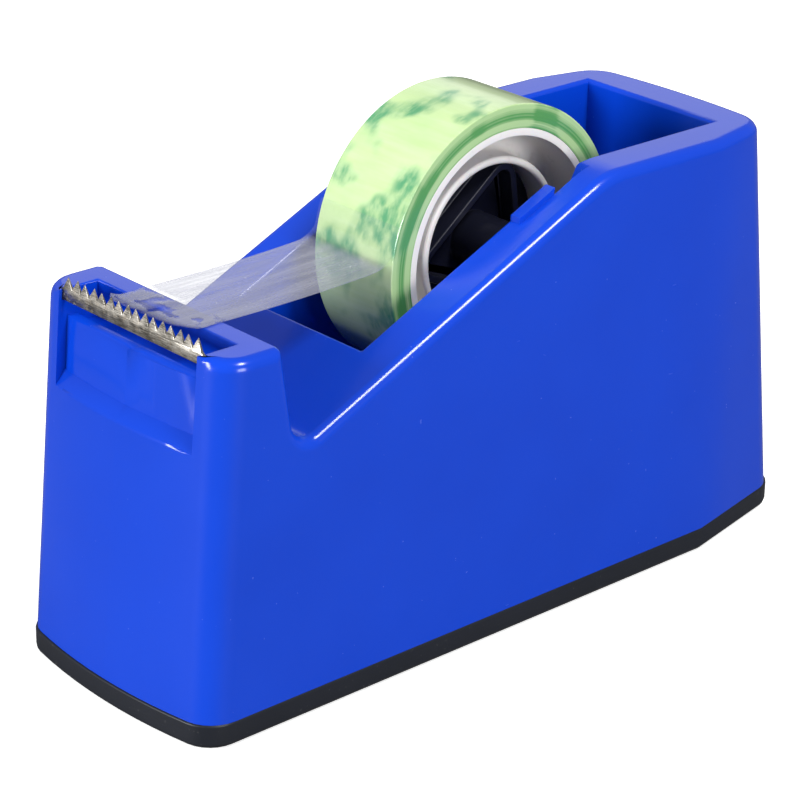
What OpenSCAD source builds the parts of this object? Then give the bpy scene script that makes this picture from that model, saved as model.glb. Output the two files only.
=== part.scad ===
// Desktop tape dispenser with a roll of tape on a 25 mm core.
// Origin: centre of the footprint, on the surface that the feet stand on.
// +Z is up, the cutting nose points to -Y, +X is the right side seen from the nose.

/* [Overall] */
// Length of the base, nose to tail
length = 134.4; // [120:0.1:170]
// Width of the base
width = 46; // [38:0.5:60]
// Height of the flat top rim above the table
height = 72.9; // [62:0.1:90]
// How far each long side leans in over the full height
side_lean = 0.7; // [0:0.1:3]
// How far the front leans back over the full height
front_lean = 5.6; // [2:0.1:8]
// How far the tail leans forward over the full height
tail_lean = 11; // [4:0.5:14]

/* [Plan outline] */
// Radius of the gentle bow across the front
front_bow_r = 106; // [60:1:300]
// Radius of the gentle bow across the tail
tail_bow_r = 150; // [80:1:400]
// Radius of the front corners
front_corner_r = 5.5; // [3:0.5:9]
// Radius of the tail corners
tail_corner_r = 6.5; // [3:0.5:8]
// Distance from the tail at which the sides start to taper
tail_taper_len = 25.8; // [20:0.1:30]
// Angle of the tail taper, degrees
tail_taper = 12.5; // [6:0.5:16]

/* [Base] */
// Height of the seam between the black base and the body
seam_z = 4.3; // [3.8:0.1:6]
// How far the rubber feet lift the base off the table
foot_lift = 0.3; // [0.3:0.1:0.8]
// Diameter of a rubber foot
foot_d = 10; // [8:0.5:12]
// Thickness of a rubber foot
foot_t = 1.4; // [1.2:0.1:1.8]
// Distance of the feet in from the sides of the base
foot_inset_x = 9; // [8:0.5:11]
// Distance of the feet in from the ends of the base
foot_inset_y = 27; // [24:0.5:32]
// Height of the locating rib that stands up inside the body
spigot_h = 3; // [2:0.5:5]
// Thickness of the ribs on the base
rib_t = 1.5; // [1.2:0.1:2]

/* [Body] */
// Wall thickness of the body moulding
wall = 2.2; // [1.6:0.1:2.4]
// Width of the roll well
well_w = 28.6; // [24:0.1:34.4]
// Largest roll that the well takes
max_roll_d = 60; // [50:1:62]
// Space around the largest roll
well_gap = 4.8; // [3:0.1:6]
// Distance from the roll axis back to the rear wall of the well
well_rear = 41.7; // [38:0.1:46]
// Radius between the well floor and its rear wall
well_rear_r = 12; // [6:1:18]
// Distance from the roll axis back to where the flat top starts
top_start = 10; // [6:0.5:16]
// Radius of the bend between the sloping sides and the flat top
top_bend_r = 16; // [8:1:24]

/* [Nose] */
// Height of the nose
nose_z = 61; // [56:0.5:64]
// Distance from the front of the base to the back of the nose top
nose_len = 17.3; // [16:0.1:22]
// How far the back of the nose leans towards the tail going down
nose_back_lean = 2; // [0:0.1:3]
// Height of the bottom of the notch behind the nose
notch_z = 45.5; // [40:0.1:48]
// Radius of the bottom of the notch
notch_r = 3.2; // [2:0.1:5]
// Width of the landing bar that the tape sticks to
bar_w = 4.2; // [4:0.1:6]
// Height of the nose top above the lip of the pocket, in front of the blade
pocket_depth = 4.3; // [2:0.1:5]
// How much deeper the pocket is behind its lip
trough_depth = 1.5; // [0.5:0.1:4]
// Thickness of the lip at its ends
lip_t = 1.2; // [0.8:0.1:1.5]
// Depth of the sunken panel under the blade
panel_depth = 1.7; // [1:0.1:2.5]
// Height of the lower edge of the sunken panel
panel_z = 46; // [42:0.5:50]
// Slope height of the ledge below the panel
ledge_h = 2.2; // [1.5:0.1:3.5]

/* [Blade] */
// Width of the toothed edge
blade_w = 32.8; // [28:0.2:35]
// Number of teeth
teeth = 16; // [10:1:20]
// Height of a tooth
tooth_h = 1.8; // [1.2:0.1:2.4]
// Height of the plain strip below the teeth
strip_h = 2; // [1:0.1:2.4]
// Thickness of the blade steel
blade_t = 0.5; // [0.4:0.05:0.8]
// Backward lean of the blade, degrees
blade_lean = 6; // [0:1:12]
// How far the lower edge of the blade sits below the nose top
blade_drop = 1.6; // [0.5:0.1:2.2]
// Plastic left in front of the blade tabs in the posts
blade_cover = 0.3; // [0.3:0.1:1]
// Length of each end tab that sits in a post
tab_l = 0.9; // [0.6:0.1:1.5]

/* [Roll, core and hub] */
// Distance from the front of the base to the roll axis
axis_setback = 73.2; // [68:0.1:78]
// Depth of the roll axis below the flat top
axis_drop = 14.1; // [12:0.1:18]
// Outer diameter of the wound tape
roll_d = 47.4; // [42:0.1:58]
// Width of the tape
tape_w = 18; // [12:0.5:19]
// Outer diameter of the core
core_d = 39.5; // [36:0.1:41]
// Bore of the core
core_bore = 26.4; // [25.4:0.1:28]
// Wall of the core rings
core_wall = 1.3; // [1:0.1:1.6]
// Thickness of the web between the two core rings
core_web = 1.6; // [1.2:0.1:3]
// How far the inner ring stops short of each side of the tape
ring_recess = 2.8; // [1:0.1:4]
// Thickness of the hub disc
hub_disc_t = 3; // [2:0.5:5]
// Length of the three-lobed drive sleeve on the hub
lobe_len = 9; // [6:0.5:12]
// Wall of the three-lobed sleeve
lobe_wall = 1.2; // [1:0.1:1.5]
// Corner radius of the three lobes
lobe_r = 3; // [2:0.5:4]
// Direction of the upper lobe above the horizontal, degrees
lobe_angle = 68; // [0:1:119]
// Outer diameter of the hub sleeve that runs on the spindle
sleeve_d = 9; // [8:0.5:11]

/* [Spindle and slots] */
// Diameter of the spindle
spindle_d = 6; // [5:0.5:6]
// Width across the flats at the spindle ends
spindle_flat = 5; // [4:0.1:5.4]
// Depth of each slot into the well wall
slot_depth = 2.6; // [2:0.1:3]
// Backward lean of the slots from the vertical, degrees
slot_lean = 28.6; // [20:0.1:35]
// Length of the guide lug in front of each slot
lug_l = 7.4; // [4:0.1:10]
// Height of the guide lug above the rim
lug_h = 1; // [0.5:0.1:1.5]

/* [Screws and ballast] */
// Shank diameter of the base screws
screw_d = 2.9; // [2.5:0.1:3.5]
// Head diameter of the base screws
screw_head_d = 5.4; // [5:0.1:6.5]
// Length of the base screws
screw_l = 12; // [9:0.5:16]
// Distance of the screws in from the ends of the base
screw_inset_y = 13; // [12:0.5:15]
// Distance between the left and right screws
screw_gap_x = 26; // [22:0.5:30]
// Outer diameter of the screw bosses
boss_d = 6.6; // [6:0.1:7.5]
// Gap around the ballast block
ballast_gap = 0.6; // [0.3:0.1:1.5]

/* [Tape end] */
// Thickness drawn for the free end of the tape
tape_t = 0.16; // [0.1:0.02:0.3]
// How far the free end reaches over the pocket
tape_reach = 3.6; // [1:0.1:5]

/* [Fits] */
// Running clearance between the hub and the spindle, on the radius
run_gap = 0.05; // [0.02:0.01:0.1]
// Clearance of a piece that drops or slides into place, per side
slide_gap = 0.1; // [0.05:0.01:0.2]
// Clearance of the spindle ends from the slot bottoms
end_gap = 0.2; // [0.1:0.05:0.4]

/* [Hidden] */
$fn = 48;
eps = 0.01;

front_y = -length / 2;
tail_y = length / 2;
axis_y = front_y + axis_setback;
axis_z = height - axis_drop;
well_r = max_roll_d / 2 + well_gap;
slot_w = spindle_flat + 2 * slide_gap;
slot_dir = [sin(slot_lean), cos(slot_lean)];

// Nose: plan of the pocket and the panel
nose_back_y = front_y + nose_len;
bar_y = nose_back_y - bar_w;
pocket_z = nose_z - pocket_depth;
trough_z = pocket_z - trough_depth;
post_x = blade_w / 2 + slide_gap;
front_slope = front_lean / height;
function front_at(z) = front_y + front_slope * z;
post_front = front_at(nose_z) + front_bow_r - sqrt(pow(front_bow_r, 2) - post_x * post_x);
blade_z = nose_z - blade_drop;
blade_y = post_front + blade_t + blade_cover;
trough_y = post_front + panel_depth + lip_t;

// Notch and slope, as points on the side profile
notch_y = nose_back_y + nose_back_lean + 1.2 * notch_r;
top_y = axis_y + top_start;
slope_a = atan2(height - notch_z, top_y - notch_y);
function slope_at(y) = height - (top_y - y) * tan(slope_a);

// Base pieces
plate_z = foot_lift;
foot_x = width / 2 - foot_inset_x;
foot_y = length / 2 - foot_inset_y;
screw_x = screw_gap_x / 2;
screw_y = length / 2 - screw_inset_y;
boss_top = seam_z + screw_l + 2;
spigot = wall + 2 * slide_gap;
ballast_l = length - 2 * tail_taper_len + 2;
ballast_w = width - 2 * (spigot + rib_t + ballast_gap);
ballast_z = axis_z - well_r - wall - ballast_gap;

// Points along an arc about c from angle a to angle b
function arc(c, r, a, b, n = 8) =
  [for (i = [0:n]) let (t = a + (b - a) * i / n) c + r * [cos(t), sin(t)]];

// Right half of the plan outline for half width w, front f and tail b
function half_outline(w, f, b, fc, tc) =
  let (
    front_c = [0, f + front_bow_r],
    fx = w - fc,
    fy = front_c[1] - sqrt(pow(front_bow_r - fc, 2) - fx * fx),
    fa = atan2(fy - front_c[1], fx),
    start = [w, tail_y - tail_taper_len],
    n = [cos(tail_taper), sin(tail_taper)],
    t = [-sin(tail_taper), cos(tail_taper)],
    tail_c = [0, b - tail_bow_r],
    d = start - n * tc - tail_c,
    k = -d * t + sqrt(pow(d * t, 2) - d * d + pow(tail_bow_r - tc, 2)),
    q = start - n * tc + t * k,
    qa = atan2(q[1] - tail_c[1], q[0])
  )
  concat(
    arc(front_c, front_bow_r, -90, fa, 5),
    arc([fx, fy], fc, fa, 0, 6),
    [start],
    arc(q, tc, tail_taper, qa, 6),
    arc(tail_c, tail_bow_r, qa, 90, 5)
  );

module plan(z, inset = 0) {
  half = half_outline(
    width / 2 - side_lean * z / height - inset,
    front_at(z) + inset,
    tail_y - tail_lean * z / height - inset,
    front_corner_r - inset,
    tail_corner_r - inset
  );
  polygon(half);
  mirror([1, 0]) polygon(half);
}

// The leaning block that the body is cut from
module block(inset, bottom, top) {
  hull() {
    translate([0, 0, bottom]) linear_extrude(eps) plan(bottom, inset);
    translate([0, 0, top - eps]) linear_extrude(eps) plan(top, inset);
  }
}

// Extrudes a side profile, given as [y, z] points, across x = -w .. w
module across(w) {
  translate([-w, 0, 0]) rotate([90, 0, 90]) linear_extrude(2 * w) children();
}

// Side profile of the body, moved inwards by t
module side_profile(t = 0, bottom = 0) {
  notch_c = [notch_y - notch_r * tan(slope_a / 2), notch_z + notch_r];
  bend_c = [top_y + top_bend_r * tan(slope_a / 2), height - top_bend_r];
  polygon(concat(
    [[front_y - 5, bottom], [front_y - 5, (t > 0 ? trough_z : nose_z) - t]],
    [[nose_back_y - t, (t > 0 ? trough_z : nose_z) - t]],
    arc(notch_c, notch_r + t, 185, 270 + slope_a, 8),
    arc(bend_c, top_bend_r - t, 90 + slope_a, 90, 6),
    [[tail_y + 5, height - t], [tail_y + 5, bottom]]
  ));
}

// Side profile of the roll well, moved outwards by t
module well_profile(t = 0) {
  rear = axis_y + well_rear;
  floor_z = axis_z - well_r;
  polygon(concat(
    [[axis_y - well_r - t, height + 5]],
    arc([axis_y, axis_z], well_r + t, 180, 270, 16),
    arc([rear - well_rear_r, floor_z + well_rear_r], well_rear_r + t, 270, 360, 8),
    [[rear + t, height + 5]]
  ));
}

// Side profile of one spindle slot, moved outwards by t
module slot_profile(t = 0) {
  side = [cos(slot_lean), -sin(slot_lean)] * (slot_w / 2 + t);
  seat = [axis_y, axis_z] - slot_dir * (spindle_d / 2 + run_gap + t);
  up = slot_dir * height / 2;
  polygon([seat - side, seat + side, seat + side + up, seat - side + up]);
}

// Room of the sunken panel, which follows the bow of the front; t is the extra all round
module panel_room(t = 0) {
  difference() {
    translate([-post_x - t, front_y, panel_z - t])
      cube([2 * (post_x + t), nose_len / 2, nose_z + t - panel_z]);
    block(panel_depth + t, seam_z, height);
    if (t == 0) hull() {
      translate([0, 0, panel_z - eps]) linear_extrude(eps) plan(panel_z);
      translate([0, 0, panel_z + ledge_h]) linear_extrude(eps) plan(panel_z, panel_depth);
    }
  }
}

module at_screws() {
  for (x = [-screw_x, screw_x], s = [0, 1]) mirror([0, s, 0]) translate([x, -screw_y, 0]) children();
}

// Screw bosses, each with a rib to the end wall; t is the extra all round
module bosses(bottom, t = 0) {
  at_screws() translate([0, 0, bottom]) {
    cylinder(d = boss_d + 2 * t, h = boss_top - bottom);
    translate([-rib_t / 2 - t, -screw_inset_y, 0])
      cube([rib_t + 2 * t, screw_inset_y, boss_top - bottom]);
  }
}

// Guide lug in front of a spindle slot, on the right side
module guide_lug() {
  edge = [-cos(slot_lean), sin(slot_lean)] * (slot_w / 2);
  rise = (slope_at(axis_y + edge[0]) - axis_z - edge[1])
    / (cos(slot_lean) - sin(slot_lean) * tan(slope_a));
  y1 = axis_y + edge[0] + slot_dir[0] * rise;
  y0 = y1 - lug_l;
  translate([well_w / 2, 0, 0]) rotate([90, 0, 90]) linear_extrude(slot_depth) polygon([
    [y0, slope_at(y0) - 1], [y1 - 0.5, slope_at(y1 - 0.5) - 1],
    [y1, slope_at(y1) + lug_h], [y0, slope_at(y0) + lug_h]
  ]);
}

// The blade and the room it needs in the nose: t is the extra on every face
module blade_place() {
  translate([0, blade_y, blade_z]) rotate([-blade_lean, 0, 0]) children();
}

// Blue body: one hollow moulding with the well, the slots, the notch and the nose
module body_shell() {
  color("royalblue") {
    difference() {
      intersection() {
        block(0, seam_z, height);
        across(width) side_profile();
      }
      difference() {
        intersection() {
          block(wall, seam_z - eps, height - wall);
          across(width) side_profile(wall, seam_z - eps);
        }
        across(well_w / 2 + wall) well_profile(wall);
        across(well_w / 2 + slot_depth + wall) slot_profile(wall);
        panel_room(wall);
        bosses(0);
      }
      across(well_w / 2) well_profile();
      across(well_w / 2 + slot_depth) slot_profile();
      panel_room();
      translate([-post_x, front_y, pocket_z]) cube([2 * post_x, bar_y - front_y, height]);
      translate([-post_x, trough_y, trough_z]) cube([2 * post_x, bar_y - trough_y, height]);
      blade_place() translate([-post_x - tab_l, -blade_t / 2 - slide_gap, -slide_gap])
        cube([2 * (post_x + tab_l), blade_t + 2 * slide_gap, 10]);
      at_screws() translate([0, 0, seam_z - 1]) cylinder(d = screw_d, h = screw_l);
    }
    for (s = [0, 1]) mirror([s, 0, 0]) guide_lug();
  }
}

// Black base: closes the body from below, carries the ballast, the feet and the screws
module base_plate() {
  spigot_top = seam_z + spigot_h;
  color("dimgray") difference() {
    union() {
      translate([0, 0, plate_z]) linear_extrude(seam_z - plate_z) plan(0);
      difference() {
        translate([0, 0, seam_z - eps]) linear_extrude(spigot_h + eps) plan(spigot_top, spigot);
        translate([0, 0, seam_z]) linear_extrude(spigot_h + 1) plan(spigot_top, spigot + rib_t);
      }
      intersection() {
        translate([0, 0, seam_z - eps]) linear_extrude(spigot_h + eps) plan(spigot_top, spigot);
        difference() {
          ballast_room(rib_t);
          ballast_room(0);
        }
      }
    }
    at_screws() {
      translate([0, 0, -1]) cylinder(d = screw_d + 2 * slide_gap, h = seam_z + 2);
      translate([0, 0, plate_z - eps])
        cylinder(d1 = screw_head_d + 0.6, d2 = screw_d + 2 * slide_gap, h = 2);
    }
    bosses(seam_z, slide_gap);
    for (x = [-foot_x, foot_x], y = [-foot_y, foot_y])
      translate([x, y, -1]) cylinder(d = foot_d + slide_gap, h = 1 + foot_t);
  }
}

// Room around the ballast block, with t more on each side
module ballast_room(t) {
  w = ballast_w + 2 * (ballast_gap + t);
  l = ballast_l + 2 * (ballast_gap + t);
  translate([-w / 2, -l / 2, seam_z - t]) cube([w, l, height]);
}

// Cast ballast block that makes the dispenser heavy
module ballast_block() {
  color("darkgray") translate([-ballast_w / 2, -ballast_l / 2, seam_z])
    cube([ballast_w, ballast_l, ballast_z - seam_z]);
}

module foot(x, y) {
  color("black") translate([x, y, 0]) cylinder(d = foot_d, h = foot_t);
}

module front_left_foot() foot(-foot_x, -foot_y);
module front_right_foot() foot(foot_x, -foot_y);
module rear_left_foot() foot(-foot_x, foot_y);
module rear_right_foot() foot(foot_x, foot_y);

// Four countersunk self-tapping screws, driven from below
module base_screws() {
  top = seam_z - 1 + screw_l - 0.5;
  head_z = plate_z + 0.3;
  color("silver") at_screws() difference() {
    union() {
      translate([0, 0, head_z]) cylinder(d1 = screw_head_d, d2 = screw_d, h = 1.7);
      translate([0, 0, head_z]) cylinder(d = screw_d, h = top - head_z);
    }
    for (a = [0, 90]) rotate(a) translate([-1.5, -0.4, head_z - 1]) cube([3, 0.8, 2]);
  }
}

// Steel blade with one row of teeth and a tab at each end
module cutter_blade() {
  pitch = blade_w / teeth;
  tab = tab_l - slide_gap + post_x - blade_w / 2;
  edge = [for (i = [0:teeth - 1]) each [
    [-blade_w / 2 + i * pitch, strip_h],
    [-blade_w / 2 + (i + 0.5) * pitch, strip_h + tooth_h]
  ]];
  color("lightgray") blade_place() rotate([90, 0, 0]) translate([0, 0, -blade_t / 2])
    linear_extrude(blade_t) polygon(concat(
      [[blade_w / 2 + tab, strip_h * 0.7], [blade_w / 2 + tab, 0]],
      [[-blade_w / 2 - tab, 0], [-blade_w / 2 - tab, strip_h * 0.7]],
      edge,
      [[blade_w / 2, strip_h]]
    ));
}

// Along the roll axis, centred on it
module on_axis() {
  translate([0, axis_y, axis_z]) rotate([90, 0, 90]) children();
}

// Ring centred on the roll axis
module ring(outer, inner, l) {
  on_axis() difference() {
    cylinder(d = outer, h = l, center = true, $fn = 96);
    cylinder(d = inner, h = l + 2, center = true, $fn = 96);
  }
}

// Spindle with flats at its ends that keep it from turning in the slots
module spindle() {
  l = well_w + 2 * slot_depth - 2 * end_gap;
  flat_l = slot_depth + 1 - end_gap;
  color("black") on_axis() difference() {
    cylinder(d = spindle_d, h = l, center = true);
    for (s = [-1, 1], e = [-1, 1])
      rotate(-slot_lean) translate([s * spindle_d / 2 + s * spindle_flat / 2, 0, e * l / 2])
        cube([spindle_d, spindle_d * 2, 2 * flat_l], center = true);
  }
}

// Rounded triangle, its corners touching a circle of radius r
module lobes(r, corner) {
  c = r - corner;
  polygon([for (i = [0:2]) each
    arc(c * [cos(lobe_angle + 120 * i), sin(lobe_angle + 120 * i)], corner,
      lobe_angle + 120 * i - 60, lobe_angle + 120 * i + 60, 6)]);
}

// Hub that carries the core: a disc, a three-lobed sleeve and a sleeve on the spindle
module hub() {
  r = core_bore / 2 - slide_gap;
  sleeve_l = well_w - 2 * 0.5;
  color([0.06, 0.07, 0.12]) on_axis() difference() {
    union() {
      cylinder(r = core_bore / 2 - run_gap, h = hub_disc_t, center = true, $fn = 96);
      linear_extrude(lobe_len, center = true) difference() {
        lobes(r, lobe_r);
        lobes(r - lobe_wall, lobe_r - lobe_wall);
      }
      cylinder(d = sleeve_d, h = sleeve_l, center = true);
    }
    cylinder(d = spindle_d + 2 * run_gap, h = sleeve_l + 2, center = true);
  }
}

// White plastic core: outer ring, web and inner ring
module tape_core() {
  inner_l = tape_w - 2 * ring_recess;
  color("whitesmoke") {
    ring(core_d, core_d - 2 * core_wall, tape_w);
    ring(core_d - core_wall, core_bore + core_wall, core_web);
    ring(core_bore + 2 * core_wall, core_bore, inner_l);
  }
}

// Wound tape on the core
module tape_roll() {
  color("lightgreen") ring(roll_d, core_d, tape_w);
}

// Free end of the tape: from just in front of the roll to over the pocket
module tape_end() {
  z = nose_z;
  dz = z - axis_z;
  back = axis_y - sqrt(pow(roll_d / 2, 2) - dz * dz) - 0.3;
  front = bar_y - tape_reach;
  color("lavender") translate([-tape_w / 2, front, z]) cube([tape_w, back - front, tape_t]);
}

body_shell();
base_plate();
ballast_block();
front_left_foot();
front_right_foot();
rear_left_foot();
rear_right_foot();
base_screws();
cutter_blade();
spindle();
hub();
tape_core();
tape_roll();
tape_end();
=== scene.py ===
import math

import bmesh
import bpy
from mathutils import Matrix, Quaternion, Vector


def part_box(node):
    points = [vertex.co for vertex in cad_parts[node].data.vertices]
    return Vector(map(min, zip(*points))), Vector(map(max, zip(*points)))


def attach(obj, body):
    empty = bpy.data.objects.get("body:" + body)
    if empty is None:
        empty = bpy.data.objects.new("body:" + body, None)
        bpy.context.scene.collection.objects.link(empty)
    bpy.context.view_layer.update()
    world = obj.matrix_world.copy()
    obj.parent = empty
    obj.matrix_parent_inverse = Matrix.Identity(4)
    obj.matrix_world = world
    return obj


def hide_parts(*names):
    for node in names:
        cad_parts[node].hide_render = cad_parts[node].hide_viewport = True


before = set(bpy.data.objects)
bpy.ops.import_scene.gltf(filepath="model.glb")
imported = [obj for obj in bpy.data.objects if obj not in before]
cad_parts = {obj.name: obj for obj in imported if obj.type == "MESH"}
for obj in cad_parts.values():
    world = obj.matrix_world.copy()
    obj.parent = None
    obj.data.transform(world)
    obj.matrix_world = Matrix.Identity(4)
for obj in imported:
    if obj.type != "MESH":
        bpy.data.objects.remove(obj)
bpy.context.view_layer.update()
mm = 0.001


# ---- Camera, floor and light ---------------------------------------------------------------
# A long lens looks down at the dispenser from its nose and right side. It stands on a white
# floor in a white room, with soft lights overhead, by the nose, beside it and behind it.
azimuth = math.radians(47.55)
elevation = math.radians(23.55)
camera_tilt = math.radians(1.14)
camera_distance = 0.472
camera_lens = 131.6
aim = Vector((-0.0027, -0.0047, 0.0321))
away = Vector((
    math.sin(azimuth) * math.cos(elevation),
    -math.cos(azimuth) * math.cos(elevation),
    math.sin(elevation),
))
bpy.ops.object.camera_add(location=aim + away * camera_distance)
camera = bpy.context.object
camera.rotation_mode = "QUATERNION"
camera.rotation_quaternion = away.to_track_quat("Z", "Y") @ Quaternion((0, 0, 1), camera_tilt)
camera.data.lens = camera_lens
camera.data.clip_start = 10 * mm
bpy.context.scene.camera = camera
bpy.context.scene.view_settings.view_transform = "Standard"


def seen_or_lighting(tree, seen, lighting):
    """One value where the camera sees the surface itself, another where it only lights others."""
    path = tree.nodes.new("ShaderNodeLightPath")
    choice = tree.nodes.new("ShaderNodeMapRange")
    choice.inputs["To Min"].default_value = lighting
    choice.inputs["To Max"].default_value = seen
    tree.links.new(path.outputs["Is Camera Ray"], choice.inputs["Value"])
    return choice.outputs["Result"]


floor_size = 6
floor_white = 0.9
floor_bounce = 0.2
floor_glow = 0.7
floor_roughness = 0.7
bpy.ops.mesh.primitive_plane_add(size=floor_size)
floor = bpy.context.object
floor.name = "floor"
floor_paint = bpy.data.materials.new("floor_paint")
floor_paint.use_nodes = True
floor_tree = floor_paint.node_tree
floor_shader = floor_tree.nodes["Principled BSDF"]
floor_shader.inputs["Roughness"].default_value = floor_roughness
floor_shader.inputs["Emission Strength"].default_value = floor_glow
floor_colour = seen_or_lighting(floor_tree, floor_white, floor_bounce)
floor_tree.links.new(floor_colour, floor_shader.inputs["Base Color"])
floor_tree.links.new(seen_or_lighting(floor_tree, 1, 0), floor_shader.inputs["Emission Color"])
floor.data.materials.append(floor_paint)

room_white = 1
room_light = 0.3
room = bpy.data.worlds.new("room")
bpy.context.scene.world = room
room.use_nodes = True
background = room.node_tree.nodes["Background"]
background.inputs["Color"].default_value = (1, 1, 1, 1)
room_strength = seen_or_lighting(room.node_tree, room_white, room_light)
room.node_tree.links.new(room_strength, background.inputs["Strength"])

# Each softbox: its name, its place, what it faces, its width and height, and its watts.
softboxes = (
    ("overhead_softbox", (0.4, 0.06, 0.76), (0, 0, 0), (0.2, 0.2), 4.5),
    ("rear_softbox", (-0.7, 0.65, 0.45), (0, 0, 0.05), (0.7, 0.4), 0.6),
    ("nose_softbox", (-0.25, -0.98, 0.28), (0, 0, 0.04), (0.4, 0.4), 11),
    ("side_softbox", (1, -0.1, 0.3), (0, 0, 0.04), (0.4, 0.4), 5.6),
)
for name, place, facing, panel, watts in softboxes:
    bpy.ops.object.light_add(type="AREA", location=place)
    light = bpy.context.object
    light.name = name
    light.rotation_mode = "QUATERNION"
    light.rotation_quaternion = (Vector(place) - Vector(facing)).to_track_quat("Z", "Y")
    light.data.shape = "RECTANGLE"
    light.data.size, light.data.size_y = panel
    light.data.energy = watts


# ---- Body ----------------------------------------------------------------------------------
# One hollow moulding of glossy blue plastic with the roll well, the spindle slots, the notch
# and the nose. Its edges are rounded as the mould leaves them, most along the outer rim.
def only(piece):
    """Leaves edit mode and selects this piece alone."""
    if bpy.context.object and bpy.context.object.mode != "OBJECT":
        bpy.ops.object.mode_set(mode="OBJECT")
    bpy.ops.object.select_all(action="DESELECT")
    piece.select_set(True)
    bpy.context.view_layer.objects.active = piece


def edit(piece, kind="VERT", action="SELECT"):
    """Opens the piece in edit mode with all or none of it selected."""
    only(piece)
    bpy.ops.object.mode_set(mode="EDIT")
    bpy.ops.mesh.select_mode(type=kind)
    bpy.ops.mesh.select_all(action=action)


def pick(piece, kind, test):
    """Opens the piece in edit mode and selects the vertices, edges or faces that pass the test."""
    edit(piece, kind, "DESELECT")
    mesh = bmesh.from_edit_mesh(piece.data)
    for item in {"VERT": mesh.verts, "EDGE": mesh.edges, "FACE": mesh.faces}[kind]:
        if test(item):
            item.select = True
    bmesh.update_edit_mesh(piece.data)


def close_edit():
    bpy.ops.object.mode_set(mode="OBJECT")


def apply_modifiers(piece):
    only(piece)
    for modifier in list(piece.modifiers):
        bpy.ops.object.modifier_apply(modifier=modifier.name)


def merged_copy(node, name):
    """A copy of a CAD node with its loose triangles merged into whole faces."""
    only(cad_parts[node])
    bpy.ops.object.duplicate()
    piece = bpy.context.object
    piece.name = name
    piece.parent = None
    for key in list(piece.keys()):
        del piece[key]
    piece.data.materials.clear()
    edit(piece)
    bpy.ops.mesh.remove_doubles(threshold=0.002 * mm)
    bpy.ops.mesh.dissolve_limited(angle_limit=math.radians(0.4))
    close_edit()
    return piece


def cut_faces(piece, place, normal):
    """Cuts the faces that lie across a plane, so that no face runs round an opening."""
    edit(piece)
    bpy.ops.mesh.bisect(plane_co=place, plane_no=normal)
    close_edit()


def centre(edge):
    return (edge.verts[0].co + edge.verts[1].co) / 2


def weigh_edges(piece, weight, test):
    """Gives the sharp edges that pass the test their share of the rounding's width."""
    sharp = math.radians(28)
    pick(piece, "EDGE", lambda edge: (
        len(edge.link_faces) == 2 and edge.calc_face_angle(0) > sharp and test(edge)
    ))
    bpy.ops.transform.edge_bevelweight(value=weight)
    close_edit()


def round_edges(piece, width, segments, angle=None):
    """Rounds the weighted edges, or with an angle every edge that is sharper."""
    bevel = piece.modifiers.new("rounding", "BEVEL")
    bevel.width = width
    bevel.segments = segments
    if angle is None:
        bevel.limit_method = "WEIGHT"
    else:
        bevel.limit_method = "ANGLE"
        bevel.angle_limit = math.radians(angle)
    bevel.use_clamp_overlap = False
    bevel.harden_normals = False
    apply_modifiers(piece)


def smooth(piece, angle=35):
    """Smooth shading that keeps the wide flat faces flat."""
    only(piece)
    bpy.ops.object.shade_smooth_by_angle(angle=math.radians(angle))
    flat_faces = piece.modifiers.new("flat_faces", "WEIGHTED_NORMAL")
    flat_faces.keep_sharp = True
    apply_modifiers(piece)


class Value:
    """One output of a material's nodes. Arithmetic on it adds Math nodes."""

    def __init__(self, tree, socket):
        self.tree = tree
        self.socket = socket

    def node(self, kind, settings, sockets, out=0):
        """Adds a node of any kind: its settings first, then its sockets' values or links."""
        made = self.tree.nodes.new(kind)
        for name, setting in settings.items():
            setattr(made, name, setting)
        for name, value in sockets.items():
            if isinstance(value, Value):
                self.tree.links.new(value.socket, made.inputs[name])
            else:
                made.inputs[name].default_value = value
        return Value(self.tree, made.outputs[out])

    def maths(self, operation, *values):
        return self.node("ShaderNodeMath", {"operation": operation}, dict(enumerate(values)))

    def __add__(self, other):
        return self.maths("ADD", self, other)

    def __sub__(self, other):
        return self.maths("SUBTRACT", self, other)

    def __rsub__(self, other):
        return self.maths("SUBTRACT", other, self)

    def __mul__(self, other):
        return self.maths("MULTIPLY", self, other)

    def __pow__(self, other):
        return self.maths("POWER", self, other)

    __radd__ = __add__
    __rmul__ = __mul__

    def step(self, low, high):
        """0 below low, 1 above high, with a soft change between."""
        return self.node(
            "ShaderNodeMapRange",
            {"interpolation_type": "SMOOTHSTEP"},
            {"Value": self, "From Min": low, "From Max": high},
        )

    def stretched(self, *scale):
        return self.node("ShaderNodeMapping", {}, {"Vector": self, "Scale": scale})

    def noise(self, size, detail=2.0):
        """Noise whose blobs are about size metres across."""
        sockets = {"Vector": self, "Scale": 1 / size, "Detail": detail}
        return self.node("ShaderNodeTexNoise", {}, sockets)

    def rings(self, size, detail):
        """Noise that changes only with this value, such as a distance from an axis."""
        sockets = {"W": self, "Scale": 1 / size, "Detail": detail}
        return self.node("ShaderNodeTexNoise", {"noise_dimensions": "1D"}, sockets)

    def mix(self, low, high):
        """The colour low where this is 0, and high where it is 1."""
        factor, colour_a, colour_b, colour_out = 0, 6, 7, 2
        sockets = {factor: self, colour_a: low, colour_b: high}
        return self.node("ShaderNodeMix", {"data_type": "RGBA"}, sockets, colour_out)

    def part(self, axis):
        return self.node("ShaderNodeSeparateXYZ", {}, {"Vector": self}, out="XYZ".index(axis))

    def bump(self, depth, strength):
        """The normal for this height, which rises depth metres from 0 to 1."""
        sockets = {"Height": self, "Distance": depth, "Strength": strength}
        return self.node("ShaderNodeBump", {}, sockets)


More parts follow.
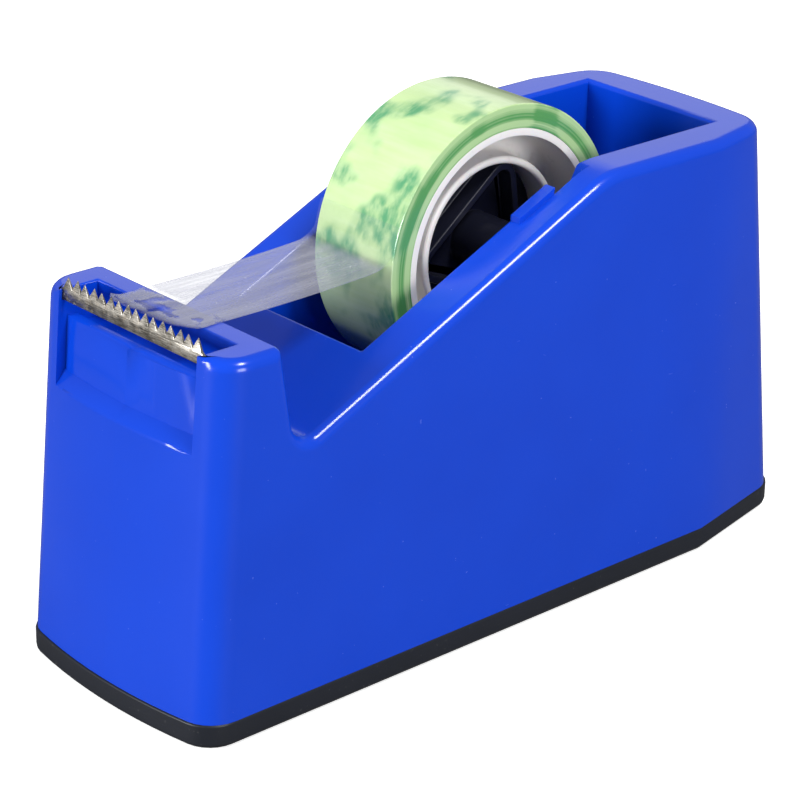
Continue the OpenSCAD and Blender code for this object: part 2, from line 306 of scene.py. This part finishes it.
def new_material(name, **constants):
    """A new material, the place on the piece, and a function that feeds the shader's sockets."""
    paint = bpy.data.materials.new(name)
    paint.use_nodes = True
    tree = paint.node_tree
    shader = tree.nodes["Principled BSDF"]
    for socket, value in constants.items():
        shader.inputs[socket.replace("_", " ")].default_value = value
    place = Value(tree, tree.nodes.new("ShaderNodeTexCoord").outputs["Object"])

    def feed(socket, value):
        tree.links.new(value.socket, shader.inputs[socket])

    return paint, place, feed


def finish_piece(piece, name, paint, body, node):
    """Names a finished piece, paints it, and hangs it on its body for the node it stands for."""
    piece.name = name
    piece.data.materials.clear()
    piece.data.materials.append(paint)
    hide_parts(node)
    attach(piece, body)


rim_top = 72.9 * mm
half_width = 23 * mm
side_draft = 0.7 * mm
tail_y = 41.4 * mm
tail_taper = 0.22
slope_hi_y = 16 * mm
slope = 0.45
nose_top = 61 * mm
nose_back = -49.4 * mm
nose_half = 17.7 * mm
nose_inside_y = -53.6 * mm
pocket_front = -59.4 * mm
pocket_lip = 0.2 * mm
ledge_z = 47 * mm
ledge_half = 16.3 * mm
ledge_front = -61.4 * mm
notch_front = -50.9 * mm
notch_rear = -42 * mm
notch_floor = 44 * mm
nose_floor = 44 * mm
rim_front = -58 * mm
rim_rear = 52.5 * mm
slot_x = 14.5 * mm
slot_front = -4 * mm
slot_rear = 18 * mm
edge_reach = 1.3 * mm
rim_rounding = 1.9 * mm
well_share = 0.4
nose_share = 0.16
body_smooth_angle = 20
middle_cut = 0.1 * mm
cross_cuts = (-30.8 * mm, -8 * mm, 30 * mm, 48.6 * mm, -53.4 * mm)
level_cut = 40 * mm

body = merged_copy("body_shell", "body_shell_moulding")
cut_faces(body, (middle_cut, 0, 0), (1, 0, 0))
for cut_y in cross_cuts:
    cut_faces(body, (0, cut_y, 0), (0, 1, 0))
cut_faces(body, (0, 0, level_cut), (0, 0, 1))


def top_at(y):
    """Height of the body's upper surface at this distance from the middle."""
    if y < nose_back:
        return nose_top
    return rim_top - max(0, slope_hi_y - y) * slope


def by_side(p):
    """Whether this place is close to the outer face of a long side."""
    side = half_width - side_draft * p.z / rim_top - max(0, p.y - tail_y) * tail_taper
    return abs(p.x) > side - edge_reach


def in_nose(p):
    return abs(p.x) < nose_half and p.y < nose_inside_y and p.z > nose_floor


def on_top(p):
    notch = notch_front < p.y < notch_rear and p.z > notch_floor and by_side(p)
    return (notch or p.z > top_at(p.y) - edge_reach) and not in_nose(p)


def on_rim(edge):
    p = centre(edge)
    return on_top(p) and (by_side(p) or p.y < rim_front or p.y > rim_rear)


def on_well(edge):
    p = centre(edge)
    in_slot = abs(p.x) > slot_x and slot_front < p.y < slot_rear
    return on_top(p) and not on_rim(edge) and not in_slot


def on_nose(edge):
    p = centre(edge)
    pocket = p.z > nose_top - pocket_lip and p.y > pocket_front
    ledge = p.z < ledge_z and abs(p.x) < ledge_half and p.y < ledge_front
    return in_nose(p) and edge.is_convex and (pocket or ledge)


weigh_edges(body, 1.0, on_rim)
weigh_edges(body, nose_share, on_nose)
weigh_edges(body, well_share, on_well)
round_edges(body, rim_rounding, 5)
smooth(body, body_smooth_angle)

deep_blue = (0.001, 0.044, 0.52, 1)
fresh_blue = (0.002, 0.054, 0.60, 1)
dusty_blue = (0.25, 0.35, 0.6, 1)
body_paint, place, feed = new_material("body_blue_plastic", IOR=1.46)
cloud = place.noise(22 * mm)
grain = place.noise(0.5 * mm, 3.0)
scratch = place.stretched(1, 0.06, 0.5).noise(0.35 * mm).step(0.75, 0.81)
dust = place.noise(0.8 * mm, 1.0).step(0.79, 0.83)
feed("Base Color", (dust * 0.15).mix(cloud.mix(deep_blue, fresh_blue), dusty_blue))
feed("Roughness", 0.15 + cloud * 0.07 + scratch * 0.12 + dust * 0.2)
feed("Normal", (grain * 0.6 - scratch).bump(0.006 * mm, 0.5))
finish_piece(body, "body_shell_moulding", body_paint, "housing", "body_shell")


# ---- Base plate ----------------------------------------------------------------------------
# A black satin plastic moulding that closes the body from below. Its outer lower edge is
# rounded, and the thin joint to the body shows all round.
seam = 4.3 * mm
seam_reach = 0.1 * mm
seam_share = 0.35
plate_side = 17 * mm
plate_end = 60 * mm
seam_end = 61 * mm
plate_rounding = 0.9 * mm


def on_lower_edge(edge):
    p = centre(edge)
    return p.z < seam / 2 and (abs(p.x) > plate_side or abs(p.y) > plate_end)


def on_seam(edge):
    p = centre(edge)
    return abs(p.z - seam) < seam_reach and (abs(p.x) > plate_side or abs(p.y) > seam_end)


plate = merged_copy("base_plate", "base_plate_moulding")
weigh_edges(plate, 1.0, on_lower_edge)
weigh_edges(plate, seam_share, on_seam)
round_edges(plate, plate_rounding, 3)
smooth(plate)

deep_black = (0.007, 0.009, 0.014, 1)
worn_black = (0.011, 0.013, 0.02, 1)
dust_grey = (0.2, 0.2, 0.2, 1)
plate_paint, place, feed = new_material("base_black_plastic", IOR=1.42)
cloud = place.noise(15 * mm)
grain = place.noise(0.35 * mm, 3.0)
dust = place.noise(0.7 * mm, 1.0).step(0.72, 0.78)
feed("Base Color", (dust * 0.2).mix(cloud.mix(deep_black, worn_black), dust_grey))
feed("Roughness", 0.36 + cloud * 0.12 + dust * 0.2)
feed("Normal", grain.bump(0.02 * mm, 0.6))
finish_piece(plate, "base_plate_moulding", plate_paint, "housing", "base_plate")


# ---- Rubber feet ---------------------------------------------------------------------------
# Four round pads of black rubber pressed into pockets under the base plate. Each has a
# rounded edge and a shallow dish underneath.
foot_sides = 48
foot_rim = 0.8 * mm
dish_slope = 0.5 * mm
dish_depth = 0.25 * mm
foot_rounding = 0.2 * mm
rubber_black = (0.012, 0.012, 0.013, 1)
rubber_grey = (0.03, 0.029, 0.028, 1)
rubber, place, feed = new_material("foot_rubber", IOR=1.5)
speck = place.noise(0.5 * mm, 3.0)
feed("Base Color", speck.mix(rubber_black, rubber_grey))
feed("Roughness", 0.7 + speck * 0.2)
feed("Normal", speck.bump(0.05 * mm, 0.6))


def settle(piece):
    """Moves the piece's place and size into its mesh."""
    only(piece)
    bpy.ops.object.transform_apply(location=True, rotation=True, scale=True)


for name in ("front_left_foot", "front_right_foot", "rear_left_foot", "rear_right_foot"):
    lo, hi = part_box(name)
    bpy.ops.object.select_all(action="DESELECT")
    bpy.ops.mesh.primitive_cylinder_add(
        vertices=foot_sides, radius=(hi.x - lo.x) / 2, depth=hi.z - lo.z, location=(lo + hi) / 2
    )
    foot = bpy.context.object
    settle(foot)
    pick(foot, "FACE", lambda face: face.normal.z < -0.9)
    bpy.ops.mesh.inset(thickness=foot_rim)
    bpy.ops.mesh.inset(thickness=dish_slope, depth=-dish_depth)
    close_edit()
    round_edges(foot, foot_rounding, 2, 50)
    smooth(foot)
    finish_piece(foot, name + "_pad", rubber, "housing", name)


# ---- Base screws ---------------------------------------------------------------------------
# Four self-tapping steel screws with a cross recess, plated with zinc. They hold the base
# plate and are countersunk into it from below.
zinc_dull = (0.42, 0.43, 0.44, 1)
zinc_bright = (0.62, 0.62, 0.6, 1)
screw_paint, place, feed = new_material("screw_zinc", Metallic=1.0)
plating = place.noise(1.5 * mm, 3.0)
feed("Base Color", plating.mix(zinc_dull, zinc_bright))
feed("Roughness", 0.28 + plating * 0.2)
feed("Normal", plating.bump(0.02 * mm, 0.4))
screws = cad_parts["base_screws"]
screws.data.materials.clear()
screws.data.materials.append(screw_paint)


# ---- Ballast block -------------------------------------------------------------------------
# A rough cast-iron block that lies on the base plate between its ribs and makes the
# dispenser heavy. It has a little draft, rounded edges and a sunken top.
ballast_top = (0.96, 0.98, 1)
ballast_rim = 4 * mm
ballast_step = 1 * mm
ballast_sink = 1.5 * mm
ballast_rounding = 0.9 * mm
lo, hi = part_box("ballast_block")
bpy.ops.object.select_all(action="DESELECT")
bpy.ops.mesh.primitive_cube_add(size=1, location=(lo + hi) / 2, scale=hi - lo)
ballast = bpy.context.object
settle(ballast)
pick(ballast, "FACE", lambda face: face.normal.z > 0.9)
bpy.ops.transform.resize(value=ballast_top)
bpy.ops.mesh.inset(thickness=ballast_rim)
bpy.ops.mesh.inset(thickness=ballast_step, depth=-ballast_sink)
close_edit()
round_edges(ballast, ballast_rounding, 3, 35)
smooth(ballast)

iron_grey = (0.07, 0.07, 0.075, 1)
iron_rust = (0.16, 0.07, 0.03, 1)
iron, place, feed = new_material("ballast_cast_iron", Metallic=0.6)
cast = place.noise(1.2 * mm, 5.0)
rust = place.noise(9 * mm, 3.0).step(0.5, 0.66)
feed("Base Color", rust.mix(iron_grey, iron_rust))
feed("Roughness", 0.55 + cast * 0.3)
feed("Normal", cast.bump(0.25 * mm, 0.8))
finish_piece(ballast, "ballast_block_casting", iron, "housing", "ballast_block")


# ---- Cutter blade --------------------------------------------------------------------------
# A strip of spring steel across the nose with one row of stamped teeth. The teeth are set
# a little to either side in turn and thin out towards their tips.
blade_lo, blade_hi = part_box("cutter_blade")
toothed_half = 16.4 * mm
tooth_pitch = 2.05 * mm
tooth_set = 0.12 * mm
tip_length = 0.3 * mm
tip_thinning = 0.25
tip_lean = 0.12 * mm
blade_rounding = 0.05 * mm
tips = blade_hi.z - tip_length
tip_middle = Vector((0, (blade_lo.y + blade_hi.y) / 2 + tip_lean, tips))
blade = merged_copy("cutter_blade", "cutter_blade_steel")
pick(blade, "VERT", lambda corner: corner.co.z > tips)
bpy.ops.transform.resize(value=(1, tip_thinning, 1), center_override=tip_middle)
for turn, way in ((0, -1), (1, 1)):
    pick(blade, "VERT", lambda corner: (
        corner.co.z > tips and int((corner.co.x + toothed_half) / tooth_pitch) % 2 == turn
    ))
    bpy.ops.transform.translate(value=(0, way * tooth_set, 0))
close_edit()
round_edges(blade, blade_rounding, 1, 50)

steel_dark = (0.13, 0.12, 0.1, 1)
steel_bright = (0.52, 0.49, 0.44, 1)
steel_dirt = (0.16, 0.13, 0.1, 1)
steel_rust = (0.4, 0.18, 0.06, 1)
steel, place, feed = new_material("blade_steel", Metallic=1.0)
film = place.noise(2.5 * mm, 4.0)
draw = place.stretched(0.08, 1, 1).noise(0.12 * mm, 2.0)
dirt = place.noise(1.1 * mm, 4.0).step(0.5, 0.68)
rust = place.noise(3.1 * mm, 3.0).step(0.68, 0.76)
clean = (film * 0.45 + draw * 0.55).step(0.36, 0.62).mix(steel_dark, steel_bright)
feed("Base Color", rust.mix((dirt * 0.7).mix(clean, steel_dirt), steel_rust))
feed("Roughness", 0.27 + draw * 0.15 + dirt * 0.25 + rust * 0.3)
feed("Metallic", 1 - rust * 0.7 - dirt * 0.3)
feed("Normal", (draw * 0.5 + film).bump(0.03 * mm, 0.6))
finish_piece(blade, "cutter_blade_steel", steel, "housing", "cutter_blade")


# ---- Spindle -------------------------------------------------------------------------------
# A black plastic pin with two flats at each end. It drops into the slots of the well and
# carries the hub.
spindle_rounding = 0.25 * mm
hub_black = (0.006, 0.007, 0.016, 1)
hub_sheen = (0.012, 0.013, 0.026, 1)
black, place, feed = new_material("hub_black_plastic", IOR=1.5)
cloud = place.noise(6 * mm)
grain = place.noise(0.4 * mm, 3.0)
feed("Base Color", cloud.mix(hub_black, hub_sheen))
feed("Roughness", 0.27 + cloud * 0.14)
feed("Normal", grain.bump(0.02 * mm, 0.5))
spindle = merged_copy("spindle", "spindle_pin")
round_edges(spindle, spindle_rounding, 2, 50)
smooth(spindle)
finish_piece(spindle, "spindle_pin", black, "axle", "spindle")


# ---- Hub -----------------------------------------------------------------------------------
# A black plastic wheel that presses into the core: a disc, a three-lobed sleeve that
# stiffens it, and the sleeve that turns on the spindle.
hub_rounding = 0.22 * mm
hub = merged_copy("hub", "hub_wheel")
round_edges(hub, hub_rounding, 2, 50)
smooth(hub)
finish_piece(hub, "hub_wheel", black, "roll", "hub")


# ---- Tape core -----------------------------------------------------------------------------
# A white plastic core: an outer ring that the tape is wound on, a deep trough on each side
# down to a web, and an inner ring with a rounded lip that grips the hub.
core_lo, core_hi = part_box("tape_core")
roll_middle = (core_lo + core_hi) / 2
tape_half = (core_hi.x - core_lo.x) / 2
core_r = (core_hi.z - core_lo.z) / 2
core_bore_r = 13.2 * mm
core_wall = 1.3 * mm
core_lip = 6.2 * mm
core_web = 0.8 * mm
core_steps = 128
trough_rounding = 1.7 * mm
lip_rounding = 0.5 * mm
core_rounding = 0.2 * mm
reach = 0.1 * mm
ring_angle = 40


def wall_section(name, half, inner_r, outer_r):
    """A flat face through a ring's wall, straight above the roll's axis."""
    bpy.ops.object.select_all(action="DESELECT")
    above = Vector((0, 0, (inner_r + outer_r) / 2))
    quarter_turn = (math.pi / 2, 0, 0)
    bpy.ops.mesh.primitive_plane_add(size=1, location=roll_middle + above, rotation=quarter_turn)
    piece = bpy.context.object
    piece.name = name
    piece.scale = (2 * half, outer_r - inner_r, 1)
    settle(piece)
    return piece


def extrude(*by):
    bpy.ops.mesh.extrude_region_move(TRANSFORM_OT_translate={"value": by})


def round_corners(piece, width, segments, test):
    """Rounds the corners of a flat outline that pass the test, by their place from the axis."""
    pick(piece, "VERT", lambda corner: test(corner.co - roll_middle))
    bpy.ops.mesh.bevel(offset=width, segments=segments, affect="VERTICES")
    close_edit()


def spin_round(piece, steps):
    """Turns the outline of a wall section into a closed ring round the roll's axis."""
    edit(piece)
    bpy.ops.mesh.delete(type="ONLY_FACE")
    bpy.ops.mesh.select_all(action="SELECT")
    bpy.ops.mesh.spin(steps=steps, angle=2 * math.pi, center=roll_middle, axis=(1, 0, 0))
    bpy.ops.mesh.select_all(action="SELECT")
    bpy.ops.mesh.remove_doubles(threshold=0.001 * mm)
    bpy.ops.mesh.normals_make_consistent(inside=False)
    close_edit()


def web_foot(edge):
    """The short edge in the middle of the outer wall's inner side."""
    p = centre(edge) - roll_middle
    return abs(p.x) < reach and abs(p.z - core_r + core_wall) < reach


def lip_start(edge, side):
    """The short edge of the inner wall on one side of the web."""
    p = centre(edge) - roll_middle
    return abs(p.x - side * core_web) < reach and core_bore_r < p.z < core_bore_r + core_wall


core = wall_section("tape_core_ring", tape_half, core_r - core_wall, core_r)
for side in (-1, 1):
    cut_faces(core, (side * core_web, 0, 0), (1, 0, 0))
pick(core, "EDGE", web_foot)
extrude(0, 0, core_bore_r + 2 * core_wall - core_r)
extrude(0, 0, -core_wall)
for side in (-1, 1):
    pick(core, "EDGE", lambda edge: lip_start(edge, side))
    extrude(side * (core_lip - core_web), 0, 0)
edit(core)
bpy.ops.mesh.dissolve_limited(angle_limit=math.radians(1))
close_edit()
round_corners(core, trough_rounding, 4, lambda p: abs(p.x) < core_web + reach)
round_corners(core, lip_rounding, 3, lambda p: (
    abs(p.x) > core_lip - reach and p.z < core_bore_r + core_wall + reach
))
round_corners(core, core_rounding, 2, lambda p: abs(p.x) > tape_half - reach)
spin_round(core, core_steps)
smooth(core, ring_angle)

core_cream = (0.74, 0.71, 0.68, 1)
core_clean = (0.84, 0.82, 0.79, 1)
core_grime = (0.45, 0.42, 0.38, 1)
white, place, feed = new_material(
    "core_white_plastic", IOR=1.48, Subsurface_Weight=0.1, Subsurface_Scale=1 * mm
)
cloud = place.noise(5 * mm, 3.0)
grime = place.noise(2 * mm, 4.0).step(0.58, 0.8)
feed("Base Color", (grime * 0.35).mix(cloud.mix(core_cream, core_clean), core_grime))
feed("Roughness", 0.34 + cloud * 0.12)
feed("Normal", place.noise(0.6 * mm).bump(0.02 * mm, 0.5))
finish_piece(core, "tape_core_ring", white, "roll", "tape_core")


# ---- Tape roll -----------------------------------------------------------------------------
# Clear tape wound many times on the core, so that it looks pale yellow-green, with soft
# green patches in the layers below. The sides show the edges of the single layers.
roll_lo, roll_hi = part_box("tape_roll")
roll_r = (roll_hi.z - roll_lo.z) / 2
roll_steps = 160
roll_rounding = 0.25 * mm
roll = wall_section("tape_roll_winding", tape_half, core_r, roll_r)
round_corners(roll, roll_rounding, 2, lambda p: p.z > core_r + reach)
spin_round(roll, roll_steps)
smooth(roll, ring_angle)

glow_deep = (0.36, 0.58, 0.22, 1)
glow_pale = (0.62, 0.78, 0.36, 1)
film_sheen = (0.7, 0.86, 0.6, 1)
patch_green = (0.05, 0.3, 0.14, 1)
edge_deep = (0.08, 0.3, 0.08, 1)
edge_pale = (0.4, 0.6, 0.28, 1)
winding, place, feed = new_material("tape_green_film", IOR=1.48, Coat_Weight=0.6, Coat_Roughness=0.12)
from_axis_y = place.part("Y") - roll_middle.y
from_axis_z = place.part("Z") - roll_middle.z
radius = (from_axis_y * from_axis_y + from_axis_z * from_axis_z) ** 0.5
outer = radius.step(roll_r - 0.35 * mm, roll_r - 0.05 * mm)
layer = radius.rings(0.3 * mm, 3.0)
band = radius.rings(1.5 * mm, 1.0)
cloud = place.noise(9 * mm, 3.0)
patch = place.noise(10 * mm, 2.0).step(0.5, 0.64)
fine = place.stretched(1, 0.5, 0.5).noise(1.6 * mm, 3.0).step(0.3, 0.65)
streak = place.stretched(0.12, 1, 1).noise(1.2 * mm, 3.0)
glow = (streak * 0.5).mix(cloud.mix(glow_deep, glow_pale), film_sheen)
face = (patch * (0.3 + fine * 0.6)).mix(glow, patch_green)
layers = (band * 0.5 + layer * 0.3 + cloud * 0.2 - patch * 0.15).step(0.3, 0.62)
feed("Base Color", outer.mix(layers.mix(edge_deep, edge_pale), face))
feed("Roughness", outer * (0.1 + streak * 0.16) + (1 - outer) * (0.3 + layer * 0.2))
feed("Normal", (layer * (1 - outer) + streak * outer * 0.5).bump(0.04 * mm, 0.5))
finish_piece(roll, "tape_roll_winding", winding, "roll", "tape_roll")


# ---- Tape end ------------------------------------------------------------------------------
# The free end of the clear film: it peels off the front of the roll, sticks on the landing
# bar and reaches over the pocket to the blade, where its cut edge curls up a little.
film_t = 0.12 * mm
film_z = nose_top + film_t
film_columns = 13
curl_rows = 5
curl_step = 1 * mm
curl_height = 0.9 * mm
curl_reach = 1.2 * mm
curl_twist = 0.25 * mm
corner_share = 0.28
corner_cut = 1.6 * mm
stuck_front = -53.8 * mm
stuck_back = -49.6 * mm
span_shares = (0.15, 0.3, 0.45, 0.6, 0.75, 0.88, 0.96)
span_sag = 0.32 * mm
span_rise = 0.5 * mm
span_gap = 0.9 * mm
peel_height = 1.4 * mm
hug_r = roll_r + 0.25 * mm
hug_rows = 8
hug_turn = math.radians(1.6)

# The middle line of the film as (y, z), row by row from the cut edge to the roll.
cut_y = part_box("tape_end")[0].y - curl_reach
rows = []
for row in range(curl_rows):
    curl = (1 - row / (curl_rows - 1)) ** 2
    rows.append((cut_y + row * curl_step, film_z + curl_height * curl))
rows += [(stuck_front, film_z), (stuck_back, film_z)]
peel = math.asin((film_z + peel_height - roll_middle.z) / hug_r)
span_back = roll_middle.y - hug_r * math.cos(peel) - span_gap
for share in span_shares:
    sag = 4 * span_sag * share * (1 - share)
    rows.append((stuck_back + share * (span_back - stuck_back), film_z - sag + span_rise * share))
for row in range(1, hug_rows + 1):
    turn = peel + hug_turn * row
    rows.append((roll_middle.y - hug_r * math.cos(turn), roll_middle.z + hug_r * math.sin(turn)))

bpy.ops.object.select_all(action="DESELECT")
bpy.ops.mesh.primitive_grid_add(
    x_subdivisions=film_columns - 1, y_subdivisions=len(rows) - 1, size=1
)
film = bpy.context.object
film.name = "tape_end_film"
for number, vertex in enumerate(film.data.vertices):
    row, column = divmod(number, film_columns)
    across = 2 * column / (film_columns - 1) - 1
    freedom = max(0, 1 - row / curl_rows)
    corner = max(0, abs(across) - 1 + corner_share) / corner_share
    y = rows[row][0] + corner_cut * corner ** 2 * freedom
    z = rows[row][1] + curl_twist * across * freedom
    vertex.co = (across * tape_half, y, z)
soften = film.modifiers.new("soften", "SUBSURF")
soften.levels = soften.render_levels = 2
soften.boundary_smooth = "PRESERVE_CORNERS"
wall = film.modifiers.new("thickness", "SOLIDIFY")
wall.thickness = film_t
wall.offset = 1
apply_modifiers(film)
smooth(film, 50)

film_grey = (0.24, 0.25, 0.35, 1)
film_lilac = (0.45, 0.46, 0.56, 1)
bubble_white = (0.95, 0.95, 0.97, 1)
clear, place, feed = new_material("tape_clear_film", IOR=1.48, Coat_Weight=0.5, Coat_Roughness=0.08)
streak = place.stretched(1, 0.07, 1).noise(0.7 * mm, 3.0)
wide_streak = place.stretched(1, 0.12, 1).noise(3 * mm, 2.0)
bubble = place.noise(0.6 * mm, 1.0).step(0.76, 0.8)
off_bar = place.part("Y").step(stuck_back - 0.9 * mm, stuck_back + 0.1 * mm)
wet = place.noise(3.5 * mm, 3.0).step(0.5, 0.56) * (1 - off_bar)
on_roll = place.part("Z").step(nose_top + 0.3 * mm, nose_top + 1.4 * mm)
film_body = 0.12 + wide_streak * 0.4 + streak * 0.22 + bubble * 0.1 - wet * 0.3
feed("Base Color", bubble.mix(wide_streak.mix(film_grey, film_lilac), bubble_white))
feed("Alpha", film_body * (1 - on_roll * 0.9))
feed("Roughness", 0.16 + streak * 0.25)
feed("Normal", (streak + bubble * 0.5).bump(0.02 * mm, 0.6))
finish_piece(film, "tape_end_film", clear, "housing", "tape_end")
